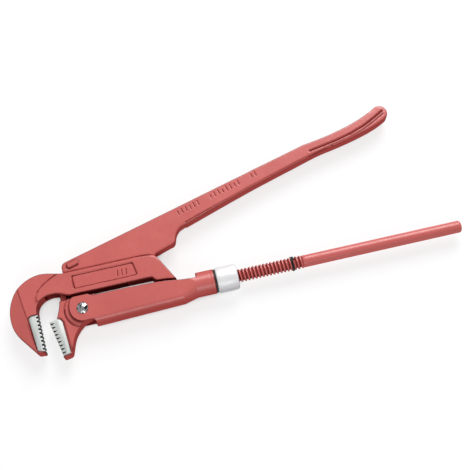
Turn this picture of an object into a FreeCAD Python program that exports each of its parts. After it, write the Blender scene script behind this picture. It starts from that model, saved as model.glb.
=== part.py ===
"""Swedish-pattern 90 degree pipe wrench, 1 1/2 inch size, as separate pieces.

Working frame, in millimetres: X runs along the spindle towards the end of the
lower handle, Y points to the upper handle, Z is the thickness. The jaw rivet's
axis is at x = y = 0 and the spindle's axis is at y = z = 0. At the end every
piece is moved so that the origin is at the centre of the bottom of the box.
"""
import FreeCAD, Part
import math
import os

# ---------------------------------------------------------------- driving dimensions
BAR_HALF = 8.3              # half thickness of the rail bar and the lug, which fit between the sleeve's walls
WEB_HALF = 6.4              # half thickness of the web above the bar and of the upper handle
EDGE_ROUND = 1.0            # general rounding of forged edges
HOOK_STEP = 0.5             # the hook's flanks lie this much below the bar's
HOOK_FACET_TAN = 0.29       # slope of the flat facet along the hook's outer edge

RAIL_Y = 15.4               # underside of the rail bar
BAR_TOP_Y = 37.0            # step from the bar up to the thinner web
JAW_SEAT = (-50.5, -38.8, -32.9, 4.6)   # x and y limits of the square seat of the fixed jaw's teeth
PANEL_DEPTH = 0.9           # depth of the recessed panel in the bar's sides
TOP_SLOPE = 0.262           # slope of the upper arm's long straight top edge
TOP_START_Y = 49.9          # height of that edge at x = 0

FULCRUM_X = 78.0            # hidden pivot of the two handles
PIN_R = 4.0
PIN_HALF = 7.1
RUNNING_GAP = 0.05          # radial clearance of shafts that turn
PRESS = 0.01                # radial interference of pressed pins
LUG_HALF = 3.5              # half thickness of the lug between the fork's prongs
LUG_R = 7.4
FORK_R = 8.0                # eye of each prong round the fulcrum pin
FORK_GAP = 0.25             # clearance between the lug and each prong
FORK_ROUND_R = 8.2          # the fork is turned to this radius to pass into the tube
FORK_TOP_Y = 7.6            # flat on top of the fork, clear of the lug

SLEEVE_HALF = 11.0          # half width of the sleeve's channel
SLEEVE_WALL = 2.4
SLEEVE_BEND = 6.0           # outer bend radius of the pressed channel
SLEEVE_BASE_Y = -16.1       # underside of the channel at its front
SLEEVE_REAR_BASE_Y = -13.7  # underside of the channel before the tube
SLEEVE_TOP_Y = 9.7          # upper edges of the channel at the front
CHANNEL_START_X = 8.6
CHANNEL_REAR_X = 92.0
TUBE_R = 11.5
TUBE_START_X = 105.0
TUBE_END_X = 123.1
TUBE_BORE_R = 9.0
TUBE_WALL_X = 119.6         # start of the end wall that holds the nut's neck
COLLAR_LINE_X = 119.4       # shallow line that sets off the tube's end collar
EAR_R = 12.0                # round lower front of the sleeve's ears
EAR_TOP_Y = 12.2

JAW_HALF = 7.2              # half thickness of the moving jaw's flanks
BOSS_HALF = 8.4             # half thickness of its round boss
BOSS_R = 16.2
BOSS_FOOT_R = 17.4          # the boss's sloping side meets the flanks at this radius
JAW_TOP_Y = 11.8
SEAT_BEVEL = (1.9, 1.1)     # width and depth of the bevel that leads down to the jaw's toothed plate
HOOK_X = -16.0              # centre of the jaw's hooked head
HOOK_Y = 22.0
HOOK_LENGTH = 8.0
HOOK_HEIGHT = 4.0
HOOK_HALF = 5.1             # half width of the head, across the slot
NECK_HALF = 3.5

SLOT_FRONT_X = -32.5
SLOT_REAR_X = 44.0
SLOT_FLOOR_Y = 18.5         # top of the slot's lips
SLOT_TOP_Y = 26.2
SLOT_HALF = 5.6
LIP_GAP_HALF = 4.1

SEAT_TOP = (-24.9, -3.8)    # corners of the moving jaw's seat for its toothed plate
SEAT_BEND = [(-22.4, -4.7), (-20.5, -7.4)]
SEAT_FOOT = (-17.9, -37.5)

RIVET_R = 4.4
RIVET_HEAD_R = 5.5
RIVET_DOME = 2.2
RIVET_FOOT = 1.0

TOOTH_DEPTH = 1.8
TOOTH_FLAT = 0.45           # share of the pitch that a tooth's flat top takes
INSERT_HALF = 6.9           # half thickness of the fixed jaw's toothed plate
JAW_INSERT_HALF = 6.2

SPINDLE_R = 6.2             # outside radius of the thread
SPINDLE_START_X = 92.0
SPINDLE_END_X = 207.0
GRIP_R = 5.7
GRIP_END_X = 360.0
GRIP_END_ROUND = 2.0

NUT_START_X = 124.7
NUT_END_X = 144.6
NUT_R = 12.0
NUT_BEVEL = 1.2
NECK_R = 8.0
NECK_FRONT_X = 115.4
RING_GROOVE_X = 117.6
RING_WIDTH = 1.2
RING_GROOVE_R = 7.2
RING_R = 8.8
WASHER_R = 10.9
STOP_RING_X = 195.2
STOP_RING_WIDTH = 3.4
STOP_RING_R = 7.0

X_AXIS = FreeCAD.Vector(1, 0, 0)
Z_AXIS = FreeCAD.Vector(0, 0, 1)


# ---------------------------------------------------------------- drawing helpers
def at(x, y, z=0.0):
    return FreeCAD.Vector(x, y, z)


def closed_wire(start, steps):
    """Wire from start: each step is one point (line), two (arc) or a list (smooth curve)."""
    here = at(*start)
    edges = []
    for step in steps:
        if isinstance(step, list):
            curve = Part.BSplineCurve()
            curve.interpolate([here] + [at(*place) for place in step])
            edges.append(curve.toShape())
            here = at(*step[-1])
        elif isinstance(step[0], tuple):
            edges.append(Part.Arc(here, at(*step[0]), at(*step[1])).toShape())
            here = at(*step[1])
        else:
            edges.append(Part.makeLine(here, at(*step)))
            here = at(*step)
    if here.distanceToPoint(at(*start)) > 1e-6:
        edges.append(Part.makeLine(here, at(*start)))
    return Part.Wire(edges)


def plate(wire, low, high):
    """The flat outline, made solid from z = low to z = high."""
    face = Part.Face(wire)
    face.translate(at(0, 0, low))
    return face.extrude(at(0, 0, high - low))


def block(x_low, x_high, y_low, y_high, z_low, z_high):
    return Part.makeBox(x_high - x_low, y_high - y_low, z_high - z_low, at(x_low, y_low, z_low))


def rod(x_low, x_high, radius):
    """Cylinder along the spindle's axis."""
    return Part.makeCylinder(radius, x_high - x_low, at(x_low, 0), X_AXIS)


def flat_ring(x, width, inner, outer):
    return rod(x, x + width, outer).cut(rod(x - 1.0, x + width + 1.0, inner))


def disc(x, y, radius, half):
    """Cylinder through the thickness."""
    return Part.makeCylinder(radius, 2 * half, at(x, y, -half), Z_AXIS)


def face_edges(solid, level):
    """Edges of a plate that lie in its two flat faces, at z = level and z = -level."""
    found = []
    for edge in solid.Edges:
        box = edge.BoundBox
        if box.ZLength < 1e-6 and abs(abs(box.ZMin) - level) < 1e-6:
            found.append(edge)
    return found


def rounded_plate(wire, half, rounding, sharp=None):
    """Plate with rounded edges; edges whose middle lies in the box named sharp stay square."""
    solid = plate(wire, -half, half)
    edges = face_edges(solid, half)
    if sharp:
        x_low, x_high, y_low, y_high = sharp
        edges = [edge for edge in edges
                 if not (x_low < edge.CenterOfMass.x < x_high and y_low < edge.CenterOfMass.y < y_high)]
    return solid.makeFillet(rounding, edges)


def tooth_points(first, last, count):
    """Corners of a row of flat-topped teeth from first to last, with gullets to the left of the line."""
    run = (last[0] - first[0], last[1] - first[1])
    length = math.hypot(*run)
    side = (-run[1] / length, run[0] / length)
    pitches = count - 1 + TOOTH_FLAT
    corners = [(TOOTH_FLAT, 0.0), (TOOTH_FLAT + 0.08, TOOTH_DEPTH), (0.92, TOOTH_DEPTH), (1.0, 0.0)]
    points = []
    for gullet in range(count - 1):
        for share, depth in corners:
            reach = (gullet + share) / pitches
            x = first[0] + run[0] * reach + side[0] * depth
            y = first[1] + run[1] * reach + side[1] * depth
            points.append((x, y))
    return points


# ---------------------------------------------------------------- upper arm
def hook_flank_steps():
    """Room above and below the hook's flanks, up to the arc where the thicker bar begins."""
    wire = closed_wire((-16.0, 46.0), [
        (-17.0, 37.6),
        [(-24.0, 34.6), (-32.2, 30.0), (-37.6, 25.0), (-40.6, 19.4), (-38.4, 13.0)],
        (-34.0, 6.0),
        (-34.0, -50.0),
        (-90.0, -50.0),
        (-90.0, 46.0),
    ])
    level = BAR_HALF - HOOK_STEP
    return plate(wire, level, BAR_HALF + 1.0).fuse(plate(wire, -BAR_HALF - 1.0, -level))


def hook_facets():
    """Wedges that leave a flat sloping facet between the hook's crease and its outer edge."""
    level = BAR_HALF - HOOK_STEP
    reach = 24.0
    crease_low = at(-45.4, -40.0)
    crease_high = at(-57.6, 44.0)
    outward = at(crease_low.y - crease_high.y, crease_high.x - crease_low.x).normalize()
    wedges = []
    for side in (1.0, -1.0):
        corners = [
            crease_low + at(0, 0, side * level),
            crease_low + outward * reach + at(0, 0, side * (level - reach * HOOK_FACET_TAN)),
            crease_low + outward * reach + at(0, 0, side * (BAR_HALF + 2.0)),
            crease_low + at(0, 0, side * (BAR_HALF + 2.0)),
        ]
        face = Part.Face(Part.makePolygon(corners + corners[:1]))
        wedges.append(face.extrude(crease_high - crease_low))
    return wedges[0].fuse(wedges[1])


def hook_and_bar():
    """The thick front: hook, jaw seat, rail bar and the upper part of the lug."""
    wire = closed_wire((67.0, RAIL_Y), [
        (70.6, 11.0),
        (80.0, 10.2),
        (89.2, 8.4),
        (75.6, 33.4),
        ((73.6, 35.2), (71.0, 36.0)),
        ((64.0, 36.8), (56.0, BAR_TOP_Y)),
        (-11.0, BAR_TOP_Y),
        [(-20.0, 38.9), (-32.3, 41.0), (-43.8, 38.9), (-55.0, 32.2), (-63.3, 21.0),
         (-66.6, 6.0), (-64.6, -6.0), (-59.7, -14.6)],
        (-48.2, -30.1),
        ((-47.2, -31.2), (-45.8, -31.6)),
        (-40.8, -32.1),
        (-40.2, -31.0),
        (-46.8, -29.6),
        (-50.0, 1.2),
        ((-49.2, 3.2), (-47.0, 4.0)),
        (-41.4, 4.2),
        [(-41.2, 8.8), (-39.0, 13.9), (-34.4, 17.8), (-29.6, 19.5), (-25.0, 20.0),
         (-20.0, 19.3), (-15.0, 17.4), (-10.0, RAIL_Y)],
    ])
    solid = rounded_plate(wire, BAR_HALF, EDGE_ROUND, sharp=JAW_SEAT)
    return solid.cut(hook_facets()).cut(hook_flank_steps())


def web_and_handle():
    """Thinner web above the bar, and the long handle with its gentle S-bend."""
    wire = closed_wire((-12.3, BAR_TOP_Y - 3.0), [
        (-12.3, 42.6),
        ((-11.1, 46.0), (-7.7, TOP_START_Y - 7.7 * TOP_SLOPE)),
        (236.0, TOP_START_Y + 236.0 * TOP_SLOPE),
        [(256.0, 114.8), (278.0, 120.0), (296.0, 126.0), (311.0, 133.5)],
        ((321.7, 131.4), (320.4, 121.2)),
        [(303.6, 113.8), (286.0, 108.7), (268.0, 104.6), (249.0, 101.0), (227.9, 95.2),
         (185.7, 83.0), (143.6, 69.7), (109.0, 58.2)],
        (107.8, 59.0),
        (105.4, 57.6),
        [(99.8, 54.2), (97.0, 49.4), (95.2, 44.2), (90.4, 41.6)],
        (74.9, 36.6),
        (70.0, 30.0),
    ])
    return rounded_plate(wire, WEB_HALF, EDGE_ROUND)


def lug_eye():
    """Thin eye below the lug, between the fork's prongs."""
    wire = closed_wire((FULCRUM_X - LUG_R, 0.0), [
        ((FULCRUM_X, -LUG_R), (FULCRUM_X + LUG_R, 0.0)),
        (FULCRUM_X + LUG_R, 12.0),
        (FULCRUM_X - LUG_R, 12.0),
    ])
    return plate(wire, -LUG_HALF, LUG_HALF)


def jaw_slot():
    """T-slot under the bar in which the moving jaw's head slides."""
    head_room = block(SLOT_FRONT_X, SLOT_REAR_X, SLOT_FLOOR_Y, SLOT_TOP_Y, -SLOT_HALF, SLOT_HALF)
    lips_gap = block(SLOT_FRONT_X, SLOT_REAR_X, RAIL_Y - 4.0, SLOT_FLOOR_Y + 0.5, -LIP_GAP_HALF, LIP_GAP_HALF)
    return head_room.fuse(lips_gap)


def side_panels():
    """Shallow recess in each side of the bar."""
    wire = closed_wire((-4.6, 20.8), [
        (-4.6, 31.4),
        ((-4.1, 32.6), (-2.9, 33.1)),
        (51.0, 33.1),
        ((52.2, 32.6), (52.7, 31.4)),
        (54.6, 21.0),
        (54.0, 20.2),
        (-4.0, 20.2),
    ])
    top = plate(wire, BAR_HALF - PANEL_DEPTH, BAR_HALF + 1.0)
    bottom = plate(wire, -BAR_HALF - 1.0, -BAR_HALF + PANEL_DEPTH)
    return top.fuse(bottom)


def web_pads():
    """Small raised pads with round ends near the web's front corner."""
    wire = closed_wire((-4.6, 41.4), [
        ((-7.4, 43.2), (-5.4, 45.8)),
        (1.8, 47.6),
        ((4.6, 45.8), (2.6, 43.2)),
    ])
    return plate(wire, -WEB_HALF - 0.8, WEB_HALF + 0.8)


def upper_arm():
    solid = hook_and_bar().multiFuse([web_and_handle(), lug_eye(), web_pads()])
    pin_hole = disc(FULCRUM_X, 0.0, PIN_R + RUNNING_GAP, LUG_HALF + 1.0)
    return solid.cut(jaw_slot()).cut(side_panels()).cut(pin_hole).removeSplitter()


def upper_jaw_teeth():
    teeth = tooth_points((-40.2, -31.0), (-41.4, 4.2), 10)
    wire = closed_wire((-46.8, -29.6), [(-40.2, -31.0)] + teeth + [
        (-41.4, 4.2),
        (-47.0, 4.0),
        ((-49.2, 3.2), (-50.0, 1.2)),
    ])
    return plate(wire, -INSERT_HALF, INSERT_HALF)


# ---------------------------------------------------------------- moving jaw
def jaw_flanks():
    """The moving jaw's flanks, with a bevel down to the seat of its toothed plate."""
    wire = closed_wire((-19.8, JAW_TOP_Y), [
        [(-20.5, 8.2), (-22.2, 2.8), SEAT_TOP],
        SEAT_BEND,
        SEAT_FOOT,
        (-25.2, -38.7),
        (-25.6, -39.6),
        ((-25.2, -40.3), (-24.2, -40.4)),
        (-19.0, -39.7),
        ((-17.2, -38.5), (-16.2, -36.4)),
        [(-13.6, -28.4), (-10.4, -21.8), (-7.0, -17.6), (-3.6, -13.9), (0.0, -11.4)],
        (8.0, -8.0),
        (8.0, JAW_TOP_Y),
    ])
    solid = plate(wire, -JAW_HALF, JAW_HALF)
    width, depth = SEAT_BEVEL
    outline = [SEAT_TOP] + SEAT_BEND + [SEAT_FOOT]
    for first, last in zip(outline, outline[1:]):
        run = at(last[0] - first[0], last[1] - first[1])
        away = at(-run.y, run.x).normalize()
        for side in (1.0, -1.0):
            low = at(first[0], first[1], side * (JAW_HALF - depth)) - away * 0.5
            high = at(first[0], first[1], side * (JAW_HALF + depth)) - away * 0.5
            over = at(first[0], first[1], side * (JAW_HALF + depth)) + away * (2 * width)
            slope = Part.Face(Part.makePolygon([low, low + away * 0.5, over, high, low]))
            solid = solid.cut(slope.extrude(run))
    return solid


def lower_jaw():
    """Forged jaw: flanks, round boss in the sleeve, toe, and the hooked head under the rail."""
    boss = disc(0.0, 0.0, BOSS_R, BOSS_HALF)
    for side in (1.0, -1.0):
        base = at(0, 0, side * JAW_HALF)
        foot = Part.makeCone(BOSS_FOOT_R, BOSS_R, BOSS_HALF - JAW_HALF, base, at(0, 0, side))
        boss = boss.fuse(foot)
    behind = closed_wire((-8.0, -20.0), [
        (-5.2, -15.6),
        (-3.6, -13.9),
        (0.0, -11.4),
        (20.0, -5.0),
        (20.0, -20.0),
    ])
    boss = boss.cut(plate(behind, -20.0, 20.0))
    boss = boss.cut(block(-30.0, 30.0, JAW_TOP_Y, 30.0, -20.0, 20.0))
    boss = boss.cut(block(-30.0, -19.8, -30.0, 30.0, -20.0, 20.0))
    neck = block(HOOK_X - 3.0, HOOK_X + 3.0, JAW_TOP_Y - 3.0, HOOK_Y, -NECK_HALF, NECK_HALF)
    head = block(HOOK_X - HOOK_LENGTH / 2, HOOK_X + HOOK_LENGTH / 2,
                 HOOK_Y - HOOK_HEIGHT / 2, HOOK_Y + HOOK_HEIGHT / 2, -HOOK_HALF, HOOK_HALF)
    head = head.makeFillet(1.2, [edge for edge in head.Edges if edge.BoundBox.ZLength > HOOK_HALF])
    solid = jaw_flanks().multiFuse([boss, neck, head])
    return solid.cut(disc(0.0, 0.0, RIVET_R + RUNNING_GAP, BOSS_HALF + 1.0)).removeSplitter()


def lower_jaw_teeth():
    teeth = tooth_points((-32.3, -5.4), (-25.2, -38.7), 10)
    wire = closed_wire(SEAT_TOP, [(-32.3, -5.4)] + teeth + [(-25.2, -38.7), SEAT_FOOT] + SEAT_BEND[::-1])
    return plate(wire, -JAW_INSERT_HALF, JAW_INSERT_HALF)


# ---------------------------------------------------------------- sleeve
def channel_section(x, base_y, top_y, half, corner):
    """Rounded rectangle across the spindle's axis, at x."""
    slant = corner * (1.0 - math.sqrt(0.5))

    def place(y, z):
        return at(x, y, z)

    edges = [
        Part.makeLine(place(base_y, -half + corner), place(base_y, half - corner)),
        Part.Arc(place(base_y, half - corner), place(base_y + slant, half - slant),
                 place(base_y + corner, half)).toShape(),
        Part.makeLine(place(base_y + corner, half), place(top_y - corner, half)),
        Part.Arc(place(top_y - corner, half), place(top_y - slant, half - slant),
                 place(top_y, half - corner)).toShape(),
        Part.makeLine(place(top_y, half - corner), place(top_y, -half + corner)),
        Part.Arc(place(top_y, -half + corner), place(top_y - slant, -half + slant),
                 place(top_y - corner, -half)).toShape(),
        Part.makeLine(place(top_y - corner, -half), place(base_y + corner, -half)),
        Part.Arc(place(base_y + corner, -half), place(base_y + slant, -half + slant),
                 place(base_y, -half + corner)).toShape(),
    ]
    return Part.Wire(edges)


def channel_solid(inset):
    """Solid inside of the channel's outer skin, or of its inner skin when inset is the wall."""
    half = SLEEVE_HALF - inset
    corner = SLEEVE_BEND - inset * 0.9
    closed_top = SLEEVE_TOP_Y + SLEEVE_BEND + 1.0 - inset
    rear_section = channel_section(CHANNEL_REAR_X, SLEEVE_REAR_BASE_Y + inset, closed_top, half, corner)
    straight = Part.makeLoft([
        channel_section(CHANNEL_START_X, SLEEVE_BASE_Y + inset, closed_top, half, corner),
        rear_section,
    ], True, True)
    tube = TUBE_R - inset
    necked = Part.makeLoft([
        rear_section,
        channel_section(TUBE_START_X, -tube, tube, tube, tube - 0.05),
    ], True, True)
    return straight.fuse(necked)


def sleeve_ears():
    """Two walls that carry the rivet, round in front and with flat tops."""
    wire = closed_wire((CHANNEL_START_X + 4.0, -EAR_R), [
        (0.0, -EAR_R),
        ((-EAR_R * math.sqrt(0.5), -EAR_R * math.sqrt(0.5)), (-EAR_R, 0.0)),
        ((-11.8, 4.6), (-10.6, 8.4)),
        ((-9.0, 11.2), (-6.0, EAR_TOP_Y)),
        (6.8, EAR_TOP_Y),
        (10.2, SLEEVE_TOP_Y + 0.2),
        (CHANNEL_START_X + 4.0, SLEEVE_TOP_Y),
    ])
    inside = SLEEVE_HALF - SLEEVE_WALL
    return plate(wire, inside, SLEEVE_HALF).fuse(plate(wire, -SLEEVE_HALF, -inside))


def sleeve():
    """Pressed channel, open upwards, with round ears at the front and a tube at the rear."""
    inside = SLEEVE_HALF - SLEEVE_WALL
    channel = channel_solid(0.0).cut(channel_solid(SLEEVE_WALL))
    channel = channel.cut(block(CHANNEL_START_X - 5.0, BOSS_R + 1.0, -BOSS_R + 2.3, 40.0, -inside, inside))
    tube = rod(TUBE_START_X - 0.2, TUBE_END_X, TUBE_R)
    tube = tube.cut(rod(TUBE_START_X - 10.0, TUBE_WALL_X, TUBE_BORE_R))
    tube = tube.cut(flat_ring(COLLAR_LINE_X, 0.7, TUBE_R - 0.4, TUBE_R + 1.0))
    tube = tube.cut(rod(TUBE_WALL_X - 1.0, TUBE_END_X + 1.0, NECK_R + RUNNING_GAP))
    above_channel = closed_wire((-10.0, SLEEVE_TOP_Y), [
        (45.0, SLEEVE_TOP_Y),
        [(66.0, 9.0), (78.0, 8.2), (88.5, 6.7), (TUBE_START_X + 1.6, 5.3)],
        (TUBE_START_X + 1.6, 40.0),
        (-10.0, 40.0),
    ])
    channel = channel.fuse(tube).cut(plate(above_channel, -20.0, 20.0))
    solid = sleeve_ears().fuse(channel).cut(disc(6.3, -15.1, 3.1, SLEEVE_HALF + 1.0))
    solid = solid.cut(rod(TUBE_START_X - 26.0, TUBE_START_X + 2.0, TUBE_BORE_R - 0.6))
    return solid.cut(disc(0.0, 0.0, RIVET_R - PRESS, SLEEVE_HALF + 1.0)).removeSplitter()


def jaw_rivet():
    """Rivet through the sleeve's ears, domed above and peened low below."""
    shank = Part.makeCylinder(RIVET_R, 2 * SLEEVE_HALF, at(0, 0, -SLEEVE_HALF), Z_AXIS)
    radius = (RIVET_HEAD_R ** 2 + RIVET_DOME ** 2) / (2 * RIVET_DOME)
    ball = Part.makeSphere(radius, at(0, 0, SLEEVE_HALF + RIVET_DOME - radius))
    dome = ball.common(Part.makeCylinder(RIVET_HEAD_R, 10.0, at(0, 0, SLEEVE_HALF), Z_AXIS))
    foot_start = at(0, 0, -SLEEVE_HALF - RIVET_FOOT)
    foot = Part.makeCone(RIVET_HEAD_R - 1.0, RIVET_HEAD_R, RIVET_FOOT, foot_start, Z_AXIS)
    return shank.multiFuse([dome, foot]).removeSplitter()


# ---------------------------------------------------------------- lower handle, nut and rings
def lower_handle():
    """One bar: fork round the lug, spindle with the thread's outside size, plain grip."""
    prongs = disc(FULCRUM_X, 0.0, FORK_R, FORK_ROUND_R)
    prongs = prongs.fuse(rod(FULCRUM_X, SPINDLE_START_X, FORK_ROUND_R))
    prongs = prongs.common(rod(FULCRUM_X - 20.0, SPINDLE_START_X, FORK_ROUND_R))
    prongs = prongs.cut(block(FULCRUM_X - 20.0, SPINDLE_START_X, FORK_TOP_Y, 20.0, -20.0, 20.0))
    slot_half = LUG_HALF + FORK_GAP
    slot_end = FULCRUM_X + LUG_R + 1.4
    prongs = prongs.cut(block(FULCRUM_X - 20.0, slot_end, -20.0, 20.0, -slot_half, slot_half))
    spindle = rod(SPINDLE_START_X - 1.0, SPINDLE_END_X, SPINDLE_R)
    grip = rod(SPINDLE_END_X - 1.0, GRIP_END_X, GRIP_R)
    end_edges = [edge for edge in grip.Edges if abs(edge.BoundBox.XMin - GRIP_END_X) < 1e-6]
    grip = grip.makeFillet(GRIP_END_ROUND, end_edges)
    solid = prongs.multiFuse([spindle, grip])
    return solid.cut(disc(FULCRUM_X, 0.0, PIN_R - PRESS, PIN_HALF + 1.0)).removeSplitter()


def fulcrum_pin():
    return disc(FULCRUM_X, 0.0, PIN_R, PIN_HALF)


def adjusting_nut():
    """Plain cylinder with bevelled rims and a grooved neck that turns in the tube's end wall."""
    body = rod(NUT_START_X, NUT_END_X, NUT_R)
    rims = [edge for edge in body.Edges if edge.BoundBox.XLength < 1e-6]
    body = body.makeChamfer(NUT_BEVEL, rims)
    neck = rod(NECK_FRONT_X, NUT_START_X + 1.0, NECK_R)
    groove = rod(RING_GROOVE_X, RING_GROOVE_X + RING_WIDTH, NECK_R + 1.0)
    groove = groove.cut(rod(RING_GROOVE_X, RING_GROOVE_X + RING_WIDTH, RING_GROOVE_R))
    bore = rod(NECK_FRONT_X - 1.0, NUT_END_X + 1.0, SPINDLE_R + RUNNING_GAP)
    return body.fuse(neck).cut(groove).cut(bore).removeSplitter()


def nut_retaining_ring():
    """Snap ring in the neck's groove, with a gap for fitting."""
    ring = flat_ring(RING_GROOVE_X, RING_WIDTH, RING_GROOVE_R, RING_R)
    return ring.cut(block(RING_GROOVE_X - 1.0, RING_GROOVE_X + 3.0, 0.0, 20.0, -1.5, 1.5))


def nut_washer():
    return flat_ring(TUBE_END_X, NUT_START_X - TUBE_END_X, NECK_R + RUNNING_GAP, WASHER_R)


def thread_stop_ring():
    return flat_ring(STOP_RING_X, STOP_RING_WIDTH, SPINDLE_R - PRESS, STOP_RING_R)


# ---------------------------------------------------------------- assembly
PIECES = {
    "upper_arm": upper_arm,
    "upper_jaw_teeth": upper_jaw_teeth,
    "lower_jaw": lower_jaw,
    "lower_jaw_teeth": lower_jaw_teeth,
    "sleeve": sleeve,
    "jaw_rivet": jaw_rivet,
    "lower_handle": lower_handle,
    "fulcrum_pin": fulcrum_pin,
    "adjusting_nut": adjusting_nut,
    "nut_retaining_ring": nut_retaining_ring,
    "nut_washer": nut_washer,
    "thread_stop_ring": thread_stop_ring,
}


def main():
    shapes = {name: make() for name, make in PIECES.items()}
    whole = FreeCAD.BoundBox()
    for shape in shapes.values():
        whole.add(shape.optimalBoundingBox(False))
    shift = at(-whole.Center.x, -whole.Center.y, -whole.ZMin)
    os.makedirs("parts", exist_ok=True)
    for name, shape in shapes.items():
        shape.translate(shift)
        shape.exportStep("parts/" + name + ".step")
        print(name, "valid" if shape.isValid() else "BROKEN", len(shape.Solids), "solid",
              round(shape.Volume / 1000, 2), "cm3")
    print("shift", shift, "size", whole.XLength, whole.YLength, whole.ZLength)


main()
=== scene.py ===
"""Swedish-pattern pipe wrench lying on its side: visible pieces, materials, floor, light and camera."""
import bpy
import bmesh
import math
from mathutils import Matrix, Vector, noise


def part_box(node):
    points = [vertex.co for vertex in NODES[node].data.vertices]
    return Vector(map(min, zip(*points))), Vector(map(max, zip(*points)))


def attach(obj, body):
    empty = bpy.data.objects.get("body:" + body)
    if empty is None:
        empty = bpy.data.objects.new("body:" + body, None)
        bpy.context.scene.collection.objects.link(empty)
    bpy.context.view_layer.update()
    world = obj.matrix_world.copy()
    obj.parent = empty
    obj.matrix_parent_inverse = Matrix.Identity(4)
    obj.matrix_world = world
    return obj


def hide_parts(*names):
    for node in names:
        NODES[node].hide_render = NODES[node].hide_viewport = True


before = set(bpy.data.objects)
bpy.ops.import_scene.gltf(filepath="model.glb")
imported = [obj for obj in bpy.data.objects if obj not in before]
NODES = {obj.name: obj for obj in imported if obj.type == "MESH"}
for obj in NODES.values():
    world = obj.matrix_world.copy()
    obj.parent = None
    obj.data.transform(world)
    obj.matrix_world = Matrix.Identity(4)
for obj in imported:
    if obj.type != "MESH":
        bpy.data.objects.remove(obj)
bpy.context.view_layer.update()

MM = 0.001
X = Vector((1.0, 0.0, 0.0))
TOP_SLOPE = 0.262           # slope of the upper arm's long top edge


def middle(node):
    """Middle of a CAD node's box."""
    low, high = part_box(node)
    return (Vector(low) + Vector(high)) / 2


# The wrench's own millimetres start at the jaw rivet's axis, in the middle of the thickness.
START = Vector((middle("jaw_rivet").x, middle("adjusting_nut").y, middle("adjusting_nut").z))


def spot(x, y, z=0.0):
    """Place given in the wrench's own millimetres, in metres in the frame."""
    return START + Vector((x, y, z)) * MM


def own(place):
    """Place in the frame, in the wrench's own millimetres."""
    return (Vector(place) - START) / MM


# ---------------------------------------------------------------- mesh helpers
def new_object(name, mesh):
    """Object with this mesh, in the scene."""
    made = bpy.data.objects.new(name, mesh)
    bpy.context.scene.collection.objects.link(made)
    return made


def applied(obj):
    """Puts the object's modifiers into its mesh."""
    bpy.context.view_layer.update()
    mesh = bpy.data.meshes.new_from_object(obj.evaluated_get(bpy.context.evaluated_depsgraph_get()))
    obj.modifiers.clear()
    obj.data = mesh
    return obj


def copy_of(node, name):
    """Copy of a CAD node's mesh as a new object, in the same place."""
    mesh = NODES[node].data.copy()
    mesh.materials.clear()
    mesh.transform(NODES[node].matrix_world)
    mesh.name = name
    return new_object(name, mesh)


def softened(node, name, voxel, passes):
    """Copy of a CAD node with the rounded edges and corners of a forging under paint."""
    obj = copy_of(node, name)
    remesh = obj.modifiers.new("remesh", "REMESH")
    remesh.mode = "VOXEL"
    remesh.voxel_size = voxel * MM
    remesh.adaptivity = 0.0
    smooth = obj.modifiers.new("smooth", "SMOOTH")
    smooth.factor = 0.5
    smooth.iterations = passes
    return applied(obj)


def thinned(obj, share):
    """Keeps this share of the faces, with the fewest where the surface is flat."""
    thin = obj.modifiers.new("thin", "DECIMATE")
    thin.ratio = share
    applied(obj)


def smooth_shaded(obj, crease_degrees=180.0):
    """Smooth shading, with edges sharper than crease_degrees kept sharp."""
    mesh = obj.data
    shape = bmesh.new()
    shape.from_mesh(mesh)
    limit = math.radians(crease_degrees)
    for edge in shape.edges:
        edge.smooth = not (len(edge.link_faces) == 2 and edge.calc_face_angle(0.0) > limit)
    for face in shape.faces:
        face.smooth = True
    shape.to_mesh(mesh)
    shape.free()


def skin_between(shape, ring, other):
    """Faces between two rings with the same number of vertices."""
    count = len(ring)
    for step in range(count):
        after = (step + 1) % count
        shape.faces.new((ring[step], ring[after], other[after], other[step]))


def capped_skin(shape, rings):
    """Faces between successive rings, and a flat face on the first and the last ring."""
    for ring, other in zip(rings, rings[1:]):
        skin_between(shape, ring, other)
    shape.faces.new(rings[0])
    shape.faces.new(rings[-1])


def object_of(shape, name):
    """Object with the finished shape for its mesh."""
    bmesh.ops.recalc_face_normals(shape, faces=shape.faces)
    mesh = bpy.data.meshes.new(name)
    shape.to_mesh(mesh)
    shape.free()
    return new_object(name, mesh)


def lathe(name, profile, turns):
    """Ring-shaped solid about the spindle's axis, from its section as (x, radius) points in millimetres."""
    shape = bmesh.new()
    rings = []
    for x, radius in profile:
        ring = []
        for step in range(turns):
            angle = 2 * math.pi * step / turns
            ring.append(shape.verts.new(spot(x, radius * math.cos(angle), radius * math.sin(angle))))
        rings.append(ring)
    for ring, other in zip(rings, rings[1:] + rings[:1]):
        skin_between(shape, ring, other)
    return object_of(shape, name)


def finish_piece(obj, body, node, material):
    """Gives the piece its material, body and slot, and hides the CAD node that it stands for."""
    obj.data.materials.clear()
    obj.data.materials.append(material)
    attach(obj, body)
    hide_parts(node)


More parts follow.
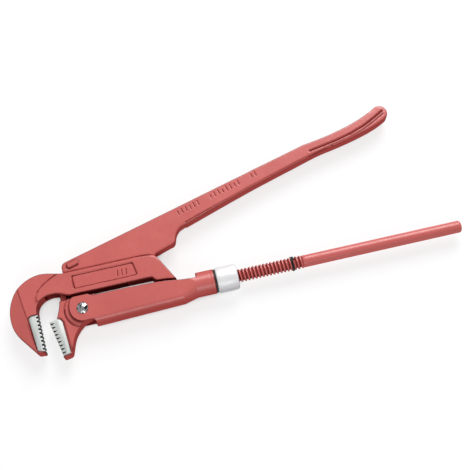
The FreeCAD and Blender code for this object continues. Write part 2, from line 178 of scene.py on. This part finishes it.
# ---------------------------------------------------------------- materials
class Nodes:
    """Short way to build a node material."""

    def __init__(self, name):
        self.material = bpy.data.materials.new(name)
        self.material.use_nodes = True
        self.tree = self.material.node_tree
        self.shader = self.tree.nodes["Principled BSDF"]
        self.place = self.add("ShaderNodeTexCoord").outputs["Object"]

    def add(self, kind, **settings):
        node = self.tree.nodes.new(kind)
        for key, value in settings.items():
            setattr(node, key, value)
        return node

    def put(self, target, value):
        """Links value to the socket, or sets the socket to it."""
        if isinstance(value, bpy.types.NodeSocket):
            self.tree.links.new(value, target)
        else:
            target.default_value = value

    def noise(self, scale, detail=4.0, roughness=0.55, stretch=None):
        node = self.add("ShaderNodeTexNoise")
        place = self.place
        if stretch:
            mapping = self.add("ShaderNodeMapping")
            self.put(mapping.inputs["Vector"], place)
            mapping.inputs["Scale"].default_value = stretch
            place = mapping.outputs["Vector"]
        self.put(node.inputs["Vector"], place)
        node.inputs["Scale"].default_value = scale
        node.inputs["Detail"].default_value = detail
        node.inputs["Roughness"].default_value = roughness
        return node.outputs["Fac"]

    def spread(self, value, low, high, to_low, to_high):
        node = self.add("ShaderNodeMapRange")
        self.put(node.inputs["Value"], value)
        node.inputs["From Min"].default_value = low
        node.inputs["From Max"].default_value = high
        node.inputs["To Min"].default_value = to_low
        node.inputs["To Max"].default_value = to_high
        return node.outputs["Result"]

    def math(self, operation, first, second):
        node = self.add("ShaderNodeMath", operation=operation)
        self.put(node.inputs[0], first)
        self.put(node.inputs[1], second)
        return node.outputs["Value"]

    def mix(self, factor, first, second):
        node = self.add("ShaderNodeMix", data_type="RGBA")
        self.put(node.inputs["Factor"], factor)
        self.put(node.inputs[6], first)
        self.put(node.inputs[7], second)
        return node.outputs[2]

    def bump(self, height, strength, distance, below=None):
        node = self.add("ShaderNodeBump")
        node.inputs["Strength"].default_value = strength
        node.inputs["Distance"].default_value = distance
        self.put(node.inputs["Height"], height)
        if below:
            self.put(node.inputs["Normal"], below)
        return node.outputs["Normal"]


def nearby_cover(m, reach, low, high, closed, opened=0.0):
    """Value from closed to opened, by how much surfaces within reach, in millimetres, close the place in."""
    hollow = m.add("ShaderNodeAmbientOcclusion", samples=12)
    hollow.inputs["Distance"].default_value = reach * MM
    return m.spread(hollow.outputs["AO"], low, high, closed, opened)


def steepness(m, low, high, most):
    """Value that grows to most where the surface turns from the flat sides towards the edges."""
    facing = m.add("ShaderNodeSeparateXYZ")
    m.put(facing.inputs["Vector"], m.add("ShaderNodeTexCoord").outputs["Normal"])
    return m.spread(m.math("ABSOLUTE", facing.outputs["Z"], 0.0), low, high, most, 0.0)


def red_enamel(name, edge_shade_strength, wall_shade_strength):
    """Baked enamel on a forging, with painted shade along creases, in hollows, on upright walls and along
    sharp edges; specular and coat are turned down where the shade of creases, hollows and walls is painted.
    """
    m = Nodes(name)
    patches = m.spread(m.noise(28.0, 3.0), 0.3, 0.7, 0.0, 1.0)
    speckle = m.spread(m.noise(900.0, 2.0), 0.35, 0.65, 0.0, 1.0)
    tone = m.mix(patches, (0.600, 0.118, 0.108, 1), (0.660, 0.136, 0.124, 1))
    tone = m.mix(m.math("MULTIPLY", speckle, 0.20), tone, (0.740, 0.180, 0.160, 1))
    # Painted shade: upright walls, and places that nearby surfaces within 25 mm close in, get dark red mixed
    # in.
    painted_wall_shade = m.math("MAXIMUM", nearby_cover(m, 25.0, 0.30, 0.80, 1.0), steepness(m, 0.20, 0.85, wall_shade_strength))
    tone = m.mix(m.math("MULTIPLY", painted_wall_shade, 0.80), tone, (0.220, 0.016, 0.015, 1))
    curve = m.add("ShaderNodeNewGeometry").outputs["Pointiness"]
    # Painted shade: dark red laid along sharp convex edges, found from the surface's pointiness.
    painted_edge_shade = m.spread(curve, 0.512, 0.534, 0.0, edge_shade_strength)
    # Painted shade: near-black red laid in concave creases and in hollows that surfaces within 2 mm close in.
    painted_crease_shade = m.spread(curve, 0.494, 0.474, 0.0, 0.95)
    tone = m.mix(painted_edge_shade, tone, (0.110, 0.008, 0.008, 1))
    painted_crease_and_hollow_shade = m.math("MAXIMUM", painted_crease_shade, nearby_cover(m, 2.0, 0.40, 0.95, 1.0))
    tone = m.mix(m.math("MULTIPLY", painted_crease_and_hollow_shade, 0.95), tone, (0.120, 0.004, 0.005, 1))
    m.put(m.shader.inputs["Base Color"], tone)
    m.put(m.shader.inputs["Roughness"], m.spread(m.noise(160.0, 4.0), 0.3, 0.7, 0.28, 0.40))
    peel = m.bump(m.noise(700.0, 2.0), 0.22, 0.00012)
    scale = m.bump(m.noise(120.0, 5.0, 0.6), 0.25, 0.00030, below=peel)
    m.put(m.shader.inputs["Normal"], scale)
    # Where shade is painted in creases, hollows and on walls, specular and coat are turned down too.
    gloss_cut_in_shade = m.math("MAXIMUM", painted_crease_and_hollow_shade, painted_wall_shade)
    m.put(m.shader.inputs["Specular IOR Level"], m.spread(gloss_cut_in_shade, 0.0, 0.25, 0.50, 0.0))
    m.put(m.shader.inputs["Coat Weight"], m.spread(gloss_cut_in_shade, 0.0, 0.25, 0.20, 0.0))
    m.shader.inputs["Coat Roughness"].default_value = 0.18
    return m.material


def ground_steel():
    """Bright ground flanks; painted shade turns the upright walls of the cut teeth and of the plate's edges
    near black, and the hollows between teeth black.
    """
    m = Nodes("ground_steel")
    lines = m.noise(520.0, 3.0, stretch=(1.0, 0.08, 1.0))
    tone = m.mix(m.spread(lines, 0.3, 0.7, 0.0, 1.0), (0.62, 0.65, 0.63, 1), (0.80, 0.83, 0.81, 1))
    # Painted shade: upright walls go near black and lose most of their specular.
    upright = steepness(m, 0.35, 0.70, 1.0)
    tone = m.mix(m.math("MULTIPLY", upright, 0.9), tone, (0.045, 0.043, 0.042, 1))
    # Painted shade: places that surfaces within 3 mm close in go black.
    tone = m.mix(nearby_cover(m, 3.0, 0.45, 0.92, 0.97), tone, (0.010, 0.010, 0.010, 1))
    m.put(m.shader.inputs["Base Color"], tone)
    m.shader.inputs["Metallic"].default_value = 0.35
    m.put(m.shader.inputs["Roughness"], m.spread(lines, 0.3, 0.7, 0.44, 0.60))
    m.put(m.shader.inputs["Specular IOR Level"], m.spread(upright, 0.0, 1.0, 0.50, 0.10))
    m.put(m.shader.inputs["Normal"], m.bump(lines, 0.25, 0.00008))
    return m.material


def polished_steel():
    """Bright steel with faint hammer marks and a few dark patches painted in as dark reflections."""
    m = Nodes("polished_steel")
    marks = m.noise(260.0, 4.0)
    # Painted reflection: random dark patches stand for dark surroundings mirrored in the steel.
    dark_reflection_patches = m.spread(m.noise(330.0, 1.0), 0.44, 0.40, 0.0, 1.0)
    tone = m.mix(marks, (0.70, 0.71, 0.73, 1), (0.90, 0.91, 0.93, 1))
    m.put(m.shader.inputs["Base Color"], m.mix(dark_reflection_patches, tone, (0.05, 0.05, 0.05, 1)))
    m.shader.inputs["Metallic"].default_value = 1.0
    m.put(m.shader.inputs["Roughness"], m.spread(marks, 0.3, 0.7, 0.12, 0.24))
    m.put(m.shader.inputs["Normal"], m.bump(marks, 0.3, 0.00020))
    return m.material


def zinc_plate():
    """Pale cloudy zinc with fine turned rings, with painted shade greying it where its surface turns away
    from facing straight up or down.
    """
    m = Nodes("zinc_plate")
    rings = m.noise(900.0, 2.0, stretch=(1.0, 0.03, 0.03))
    cloud = m.noise(140.0, 4.0)
    tone = m.mix(cloud, (0.93, 0.93, 0.95, 1), (0.97, 0.97, 0.98, 1))
    # Painted shade: grey mixed in where the surface turns from facing up or down, on the nut's curved sides
    # and its ends.
    tone = m.mix(steepness(m, 0.30, 0.75, 0.75), tone, (0.32, 0.31, 0.33, 1))
    m.put(m.shader.inputs["Base Color"], tone)
    m.shader.inputs["Metallic"].default_value = 0.20
    m.put(m.shader.inputs["Roughness"], m.spread(cloud, 0.3, 0.7, 0.34, 0.46))
    grain = m.bump(cloud, 0.15, 0.0002)
    m.put(m.shader.inputs["Normal"], m.bump(rings, 0.25, 0.00006, below=grain))
    return m.material


def dark_steel():
    """Blackened steel with faint marks."""
    m = Nodes("dark_steel")
    marks = m.noise(400.0, 3.0)
    m.put(m.shader.inputs["Base Color"], m.mix(marks, (0.012, 0.012, 0.013, 1), (0.035, 0.034, 0.034, 1)))
    m.shader.inputs["Metallic"].default_value = 0.3
    m.put(m.shader.inputs["Roughness"], m.spread(marks, 0.3, 0.7, 0.40, 0.60))
    m.put(m.shader.inputs["Normal"], m.bump(marks, 0.2, 0.0001))
    return m.material


# The last two numbers set how strong the painted edge shade and the painted wall shade are.
RED = red_enamel("red_enamel", 0.85, 0.70)
BAR_RED = red_enamel("red_enamel_bar", 0.0, 0.25)
GROUND = ground_steel()
POLISHED = polished_steel()
ZINC = zinc_plate()
DARK = dark_steel()


# ---------------------------------------------------------------- shapes worked into the surfaces
FLANK_NORMAL = 0.55         # least upward part of the normal on a surface that counts as a flank


def distance_to(place, route):
    """Distance in the XY plane from place to a broken line."""
    best = 1e9
    for first, last in zip(route, route[1:]):
        run = last - first
        share = max(0.0, min(1.0, (place - first).dot(run) / run.length_squared))
        best = min(best, (place - first - run * share).length)
    return best


def rounded_cut(distance, half_width, depth):
    """Depth of a groove with a round section, at a distance from its middle line."""
    if distance >= half_width:
        return 0.0
    return depth * (0.5 + 0.5 * math.cos(math.pi * distance / half_width))


def line(*places):
    """Broken line through (x, y) places."""
    return [Vector(place) for place in places]


def box_of(route, margin):
    """Left, right, lowest and highest limits of a broken line with a margin."""
    xs = [place.x for place in route]
    ys = [place.y for place in route]
    return min(xs) - margin, max(xs) + margin, min(ys) - margin, max(ys) + margin


def press_lines(obj, features):
    """Sinks grooves, or raises marks, in both flanks; features are (route, half width, depth)."""
    boxed = [(route, half_width, depth, box_of(route, half_width)) for route, half_width, depth in features]
    moves = []
    for vertex in obj.data.vertices:
        if abs(vertex.normal.z) < FLANK_NORMAL:
            continue
        place = own(vertex.co)
        flat = place.xy
        cut = 0.0
        for route, half_width, depth, (left, right, low, high) in boxed:
            if left < flat.x < right and low < flat.y < high:
                cut += rounded_cut(distance_to(flat, route), half_width, depth)
        if cut:
            moves.append((vertex.index, -math.copysign(cut * MM, place.z)))
    for index, move in moves:
        obj.data.vertices[index].co.z += move


def rounded_along(obj, route, near, far, passes):
    """Rounds the edges more within near of a line, fading out to far, both in millimetres."""
    left, right, low, high = box_of(route, far)
    group = obj.vertex_groups.new(name="rounded")
    for vertex in obj.data.vertices:
        flat = own(vertex.co).xy
        if left < flat.x < right and low < flat.y < high:
            distance = distance_to(flat, route)
            if distance < far:
                group.add([vertex.index], min(1.0, (far - distance) / (far - near)), "REPLACE")
    smooth = obj.modifiers.new("smooth", "SMOOTH")
    smooth.factor = 0.5
    smooth.iterations = passes
    smooth.vertex_group = group.name
    applied(obj)
    obj.vertex_groups.clear()


def forged_skin(obj, height, size, seed):
    """Slight unevenness of a forged surface under paint."""
    offset = Vector((seed * 17.3, seed * 5.1, seed * 9.7))
    moves = []
    for vertex in obj.data.vertices:
        wave = noise.noise(own(vertex.co) / size + offset)
        moves.append(vertex.normal * (wave * height * MM))
    for vertex, move in zip(obj.data.vertices, moves):
        vertex.co += move


# ---------------------------------------------------------------- forged and pressed pieces
ARM_UNDERSIDE = line((76.0, 37.0), (90.4, 41.6), (95.2, 44.2), (97.0, 49.4), (99.8, 54.2), (105.4, 57.6),
                     (109.0, 58.2), (143.6, 69.7), (185.7, 83.0), (227.9, 95.2), (249.0, 101.0),
                     (268.0, 104.6), (286.0, 108.7), (303.6, 113.8), (320.4, 121.2), (321.7, 131.4),
                     (311.0, 133.5))
JAW_BACK = line((1.0, -11.0), (-3.6, -13.9), (-7.0, -17.6), (-10.4, -21.8), (-13.6, -28.4), (-16.2, -36.4),
                (-19.0, -39.7), (-24.2, -40.4))
ARC_STEP = line((-16.6, 38.4), (-24.0, 34.8), (-32.2, 30.2), (-37.6, 25.2), (-40.6, 19.6), (-39.0, 14.6))
HOOK_CREASE = line((-46.8, -30.4), (-56.8, 38.0))
PANEL = line((-3.6, 20.6), (-4.6, 31.4), (-2.9, 33.1), (51.0, 33.1), (52.7, 31.4), (54.8, 20.4))
PAD = line((-7.6, 43.9), (-7.9, 42.4), (-7.2, 41.0), (-5.8, 40.4), (1.8, 42.2), (3.5, 43.3), (4.0, 44.9),
           (3.7, 46.2))
WEB_STEP = line((-12.0, 38.2), (56.0, 38.2), (66.0, 37.6), (73.4, 36.0))
HANDLE_LINE = line((108.6, 60.6), (124.0, 65.6), (176.0, 81.4), (228.0, 96.8), (247.0, 100.9), (262.0, 104.6))
END_GROOVE = line((240.0, 103.9), (252.0, 106.0), (268.0, 108.9), (282.0, 112.4), (297.0, 117.6),
                  (309.0, 123.6), (318.0, 128.6))
LOWER_END_GROOVE = line((262.0, 104.4), (282.0, 109.0), (297.0, 114.2), (309.0, 120.2), (318.5, 125.4))
PLATE_EDGE = line((-50.8, 2.0), (-47.6, -30.0))
ARM_GROOVES = [
    (ARC_STEP, 1.0, 0.45), (HOOK_CREASE, 1.0, 0.45), (PLATE_EDGE, 1.1, 0.45), (PANEL, 1.0, 0.30),
    (PAD, 1.0, 0.45), (WEB_STEP, 0.9, 0.20), (HANDLE_LINE, 1.1, 0.45), (END_GROOVE, 1.6, 0.90),
    (LOWER_END_GROOVE, 1.0, 0.40),
]


def circle_line(radius, start_degrees, end_degrees, steps=24):
    """Part of a circle round the rivet."""
    spread = end_degrees - start_degrees
    angles = [math.radians(start_degrees + spread * step / steps) for step in range(steps + 1)]
    return [Vector((radius * math.cos(angle), radius * math.sin(angle))) for angle in angles]


JAW_GROOVES = [(line((-23.9, -4.6), (-21.6, -5.0), (-19.6, -8.2), (-17.1, -37.2)), 1.2, 0.50),
               (circle_line(16.9, 172, 246), 1.3, 0.50)]


MARK_HALF_WIDTH = 0.9
MARK_HEIGHT = 0.35          # how far a mark stands out of the flank
MARK_SPACING = 4.2
MARK_ROWS = [(104.5, 6), (138.0, 8), (180.0, 2)]    # x of each row's start, and its number of marks
MARK_BASE = 40.6            # the rows start on the line y = base + rise * x
MARK_RISE = 0.2735
PANEL_MARK_SPACING = 4.0


def mark_bars():
    """Rows of plain raised bars along the handle, and three in the rail's panel."""
    bars = []
    along = Vector((1.0, TOP_SLOPE)).normalized()
    upright = Vector((-along.y, along.x))
    for start, count in MARK_ROWS:
        for number in range(count):
            foot = Vector((start, MARK_BASE + start * MARK_RISE)) + along * (MARK_SPACING * number)
            length = 4.6 if number % 3 else 3.4
            bars.append((line(foot, foot + upright * length), MARK_HALF_WIDTH, -MARK_HEIGHT))
    for number in range(3):
        foot = Vector((37.0 + PANEL_MARK_SPACING * number, 23.4))
        bars.append((line(foot, foot + Vector((0.6, 5.4))), MARK_HALF_WIDTH, -MARK_HEIGHT))
    return bars


# keeps the arm's exported mesh under 200 000 triangles
ARM_FACES_KEPT = 0.49       # share of the arm's faces that the decimation keeps


def arm_forging():
    """Upper arm with its fixed jaw, rail, web and handle."""
    obj = softened("upper_arm", "arm_forging", 0.45, 2)
    rounded_along(obj, ARM_UNDERSIDE, 5.0, 8.0, 50)
    press_lines(obj, ARM_GROOVES + mark_bars())
    forged_skin(obj, 0.10, 14.0, 1)
    forged_skin(obj, 0.03, 2.6, 2)
    thinned(obj, ARM_FACES_KEPT)
    finish_piece(obj, "arm", "upper_arm", RED)
    smooth_shaded(obj)


def jaw_forging():
    """Moving jaw."""
    obj = softened("lower_jaw", "jaw_forging", 0.42, 2)
    rounded_along(obj, JAW_BACK, 3.5, 5.5, 40)
    press_lines(obj, JAW_GROOVES)
    forged_skin(obj, 0.06, 9.0, 3)
    forged_skin(obj, 0.03, 2.4, 4)
    finish_piece(obj, "jaw", "lower_jaw", RED)
    smooth_shaded(obj)


def sleeve_pressing():
    """Pressed sleeve that carries the moving jaw."""
    obj = softened("sleeve", "sleeve_pressing", 0.5, 2)
    forged_skin(obj, 0.05, 12.0, 5)
    forged_skin(obj, 0.02, 2.6, 6)
    finish_piece(obj, "slide", "sleeve", RED)
    smooth_shaded(obj)


TEETH_FIRST = Vector((-32.3, -5.4))      # ends of the moving plate's row of ten teeth
TEETH_LAST = Vector((-25.2, -38.7))
TOOTH_PITCHES = 9.45
TOOTH_DEPTH = 1.8
GULLET_MIDDLE = 0.725       # place of a gullet's middle in its pitch
RELIEF_DEPTH = 1.8          # extra depth of a gullet at the plate's flanks
RELIEF_REACH = 4.2          # how far in from the flanks the extra depth ends
RELIEF_NARROWING = 0.55     # share of the gullet's bottom width that is lost at the flanks


def relieved_gullets(shape):
    """Runs the moving plate's gullets out deeper and narrower towards both flanks."""
    run = (TEETH_LAST - TEETH_FIRST).normalized()
    side = Vector((-run.y, run.x))
    pitch = (TEETH_LAST - TEETH_FIRST).length / TOOTH_PITCHES
    flank = max(own(vertex.co).z for vertex in shape.verts)
    for height in (flank - RELIEF_REACH, RELIEF_REACH - flank):
        everything = list(shape.verts) + list(shape.edges) + list(shape.faces)
        bmesh.ops.bisect_plane(shape, geom=everything, plane_co=spot(0, 0, height), plane_no=(0, 0, 1))
    for vertex in shape.verts:
        place = own(vertex.co)
        from_tips = (place.xy - TEETH_FIRST).dot(side)
        share = (place.xy - TEETH_FIRST).dot(run) / pitch
        at_bottom = abs(from_tips - TOOTH_DEPTH) < 0.2 and 0.0 < share < TOOTH_PITCHES
        if at_bottom and abs(abs(place.z) - flank) < 0.05:
            inward = (GULLET_MIDDLE - share % 1.0) * RELIEF_NARROWING * pitch
            flat = place.xy + side * RELIEF_DEPTH + run * inward
            vertex.co = spot(flat.x, flat.y, place.z)


def toothed_plate(node, name, body, relieved):
    """Ground plate with its edges just broken."""
    obj = copy_of(node, name)
    shape = bmesh.new()
    shape.from_mesh(obj.data)
    bmesh.ops.remove_doubles(shape, verts=shape.verts, dist=0.002 * MM)
    bmesh.ops.dissolve_limit(shape, angle_limit=math.radians(2.0), verts=shape.verts, edges=shape.edges)
    if relieved:
        relieved_gullets(shape)
    shape.to_mesh(obj.data)
    shape.free()
    bevel = obj.modifiers.new("bevel", "BEVEL")
    bevel.width = 0.28 * MM
    bevel.segments = 2
    bevel.limit_method = "ANGLE"
    bevel.angle_limit = math.radians(25.0)
    applied(obj)
    finish_piece(obj, body, node, GROUND)
    smooth_shaded(obj, 30.0)


# ---------------------------------------------------------------- turned pieces
PITCH = 3.4
CREST_R = 6.15
ROOT_R = 4.75
ROOT_SHARE = 0.26           # share of the pitch that is plain root
FLANK_SHARE = 0.42          # share of the pitch that the two flanks take
THREAD_START = 91.0
THREAD_END = 207.0
RUN_OUT = 1.8               # length over which the thread fades into the plain bar
THREAD_STEPS = 16           # sections in each pitch of the thread
GRIP_R = 5.7
GRIP_END = 360.0
GRIP_ROUND = 2.6            # rounding of the bar's free end
GRIP_STEP = 3.0
SPINDLE_SIDES = 72


def thread_radius(x, turn):
    """Radius at x of a right-hand thread with round-edged crests, at this share of a turn from +Y."""
    rise = abs(2.0 * ((x / PITCH - turn) % 1.0) - 1.0)
    share = max(0.0, min(1.0, (rise - ROOT_SHARE) / FLANK_SHARE))
    radius = ROOT_R + (CREST_R - ROOT_R) * share * share * (3.0 - 2.0 * share)
    run_out = max(0.0, min(1.0, (THREAD_END - x) / RUN_OUT))
    return GRIP_R + (radius - GRIP_R) * run_out


def grip_radius(x):
    """Radius of the plain bar, round at its free end."""
    past = x - (GRIP_END - GRIP_ROUND)
    if past <= 0.0:
        return GRIP_R
    return GRIP_R - GRIP_ROUND + math.sqrt(max(0.0, GRIP_ROUND ** 2 - past ** 2))


def spindle_stations():
    """Places along the spindle and grip where a section is made."""
    thread_steps = int((THREAD_END - THREAD_START) * THREAD_STEPS / PITCH)
    grip_steps = int((GRIP_END - THREAD_END - GRIP_STEP) / GRIP_STEP)
    stations = [THREAD_START + step * PITCH / THREAD_STEPS for step in range(thread_steps)]
    stations += [THREAD_END + GRIP_STEP * step for step in range(grip_steps)]
    stations += [GRIP_END - GRIP_ROUND + GRIP_ROUND * math.sin(math.radians(15 * step)) for step in range(7)]
    return stations


def spindle_and_grip():
    """The fork from the frame with a threaded spindle and the plain grip bar."""
    shape = bmesh.new()
    shape.from_mesh(NODES["lower_handle"].data)
    bmesh.ops.remove_doubles(shape, verts=shape.verts, dist=0.002 * MM)
    cut_at = spot(THREAD_START + 0.6, 0)
    everything = list(shape.verts) + list(shape.edges) + list(shape.faces)
    cut = bmesh.ops.bisect_plane(shape, geom=everything, plane_co=cut_at, plane_no=X, clear_outer=True)
    edges = [part for part in cut["geom_cut"] if isinstance(part, bmesh.types.BMEdge)]
    bmesh.ops.holes_fill(shape, edges=edges)
    rings = []
    for x in spindle_stations():
        ring = []
        for side in range(SPINDLE_SIDES):
            turn = side / SPINDLE_SIDES
            radius = thread_radius(x, turn) if x < THREAD_END else grip_radius(x)
            angle = 2 * math.pi * turn
            ring.append(shape.verts.new(spot(x, radius * math.cos(angle), radius * math.sin(angle))))
        rings.append(ring)
    capped_skin(shape, rings)
    obj = object_of(shape, "spindle_and_grip")
    finish_piece(obj, "handle", "lower_handle", BAR_RED)
    smooth_shaded(obj, 50.0)


def nut_turned():
    """Adjusting nut with its neck, the groove for its retaining ring and a shallow line round its body."""
    profile = [
        (115.4, 6.4), (115.4, 7.7), (115.7, 8.0), (117.6, 8.0), (117.6, 7.2), (118.8, 7.2), (118.8, 8.0),
        (124.7, 8.0), (124.7, 11.0), (124.8, 11.3), (125.5, 11.9), (125.8, 12.0),
        (127.0, 12.0), (127.15, 11.85), (127.45, 11.85), (127.6, 12.0), (135.0, 11.98), (142.9, 12.0),
        (143.3, 11.92), (144.2, 11.2), (144.5, 10.8), (144.6, 10.4), (144.6, 7.6), (144.4, 7.2), (143.4, 6.4),
    ]
    obj = lathe("nut_turned", profile, turns=120)
    finish_piece(obj, "nut", "adjusting_nut", ZINC)
    smooth_shaded(obj, 28.0)


WIRE_R = 0.46
WIRE_TURNS = 2.2
WIRE_COIL_R = 6.45          # from the spindle's axis to the wire's middle
WIRE_START = 195.7
WIRE_ADVANCE = 2.5          # how far the whole coil runs along the spindle
WIRE_STEPS = 110
WIRE_SIDES = 12


def stop_wire():
    """Dark wire wound a little over twice round the thread."""
    shape = bmesh.new()
    rings = []
    for step in range(WIRE_STEPS + 1):
        share = step / WIRE_STEPS
        angle = 2 * math.pi * WIRE_TURNS * share
        out = Vector((0.0, math.cos(angle), math.sin(angle)))
        centre = X * (WIRE_START + WIRE_ADVANCE * share) + out * WIRE_COIL_R
        ring = []
        for side in range(WIRE_SIDES):
            turn = 2 * math.pi * side / WIRE_SIDES
            place = centre + (out * math.cos(turn) + X * math.sin(turn)) * WIRE_R
            ring.append(shape.verts.new(spot(*place)))
        rings.append(ring)
    capped_skin(shape, rings)
    obj = object_of(shape, "stop_wire")
    finish_piece(obj, "handle", "thread_stop_ring", DARK)
    smooth_shaded(obj, 60.0)


FLOOR_CLEARANCE = 0.02


def rivet_peened():
    """Rivet with a hammered dome, flat where it stands on the floor."""
    obj = softened("jaw_rivet", "rivet_peened", 0.22, 6)
    forged_skin(obj, 0.16, 3.2, 7)
    for vertex in obj.data.vertices:
        vertex.co.z = max(vertex.co.z, FLOOR_CLEARANCE * MM)
    finish_piece(obj, "slide", "jaw_rivet", POLISHED)
    smooth_shaded(obj)


arm_forging()
jaw_forging()
sleeve_pressing()
toothed_plate("upper_jaw_teeth", "hook_teeth_plate", "arm", relieved=False)
toothed_plate("lower_jaw_teeth", "jaw_teeth_plate", "jaw", relieved=True)
spindle_and_grip()
nut_turned()
stop_wire()
rivet_peened()

for node, material in (("fulcrum_pin", POLISHED), ("nut_retaining_ring", DARK), ("nut_washer", DARK)):
    for slot in NODES[node].material_slots:
        slot.material = material


# ---------------------------------------------------------------- camera, light and floor
def make_camera():
    """Camera looking down at the wrench from the front, turned a little to the left."""
    aim = spot(151.37, 39.65)
    azimuth = math.radians(-13.135)
    elevation = math.radians(72.0)
    distance = 1.00404
    back = Vector((math.sin(azimuth) * math.cos(elevation), -math.cos(azimuth) * math.cos(elevation),
                   math.sin(elevation)))
    data = bpy.data.cameras.new("camera")
    data.lens = 82.0
    data.sensor_width = 36.0
    camera = bpy.data.objects.new("camera", data)
    camera.location = aim + back * distance
    camera.rotation_euler = (math.pi / 2 - elevation, 0.0, azimuth)
    bpy.context.scene.collection.objects.link(camera)
    bpy.context.scene.camera = camera


def area_light(name, place, size, power):
    """Square soft light aimed at the middle of the frame."""
    data = bpy.data.lights.new(name, "AREA")
    data.size = size
    data.energy = power
    lamp = bpy.data.objects.new(name, data)
    lamp.location = place
    lamp.rotation_euler = (-Vector(place)).to_track_quat("-Z", "Y").to_euler()
    bpy.context.scene.collection.objects.link(lamp)


def make_studio():
    """Key light from behind the wrench, fill light from the front and even white surroundings."""
    area_light("key", (0.55, 1.25, 1.15), 1.2, 30.0)
    area_light("fill", (-0.25, -1.25, 0.95), 0.9, 7.0)
    world = bpy.data.worlds.new("studio")
    world.use_nodes = True
    background = world.node_tree.nodes["Background"]
    background.inputs["Color"].default_value = (1, 1, 1, 1)
    background.inputs["Strength"].default_value = 0.28
    bpy.context.scene.world = world
    bpy.context.scene.view_settings.view_transform = "Standard"


def make_floor():
    """Pale sheet that glows as painted light, with the glow cut down as painted shade where the wrench lies
    close to it.
    """
    mesh = bpy.data.meshes.new("floor")
    mesh.from_pydata([(-3, -3, 0), (3, -3, 0), (3, 3, 0), (-3, 3, 0)], [], [(0, 1, 2, 3)])
    floor = new_object("floor", mesh)
    m = Nodes("pale_floor")
    m.put(m.shader.inputs["Base Color"], m.mix(m.noise(3.0), (0.30, 0.30, 0.30, 1), (0.32, 0.32, 0.32, 1)))
    m.shader.inputs["Roughness"].default_value = 0.9
    m.shader.inputs["Specular IOR Level"].default_value = 0.1
    m.shader.inputs["Emission Color"].default_value = (1, 1, 1, 1)
    # Painted light: the floor emits up to 0.74; painted shade cuts this where the wrench closes the floor in
    # within 11 mm and 30 mm.
    painted_glow = nearby_cover(m, 11.0, 0.10, 0.50, 0.02, 0.74)
    painted_contact_shade = nearby_cover(m, 30.0, 0.05, 0.20, 0.0, 1.0)
    m.put(m.shader.inputs["Emission Strength"], m.math("MULTIPLY", painted_glow, painted_contact_shade))
    mesh.materials.append(m.material)


make_camera()
make_studio()
make_floor()
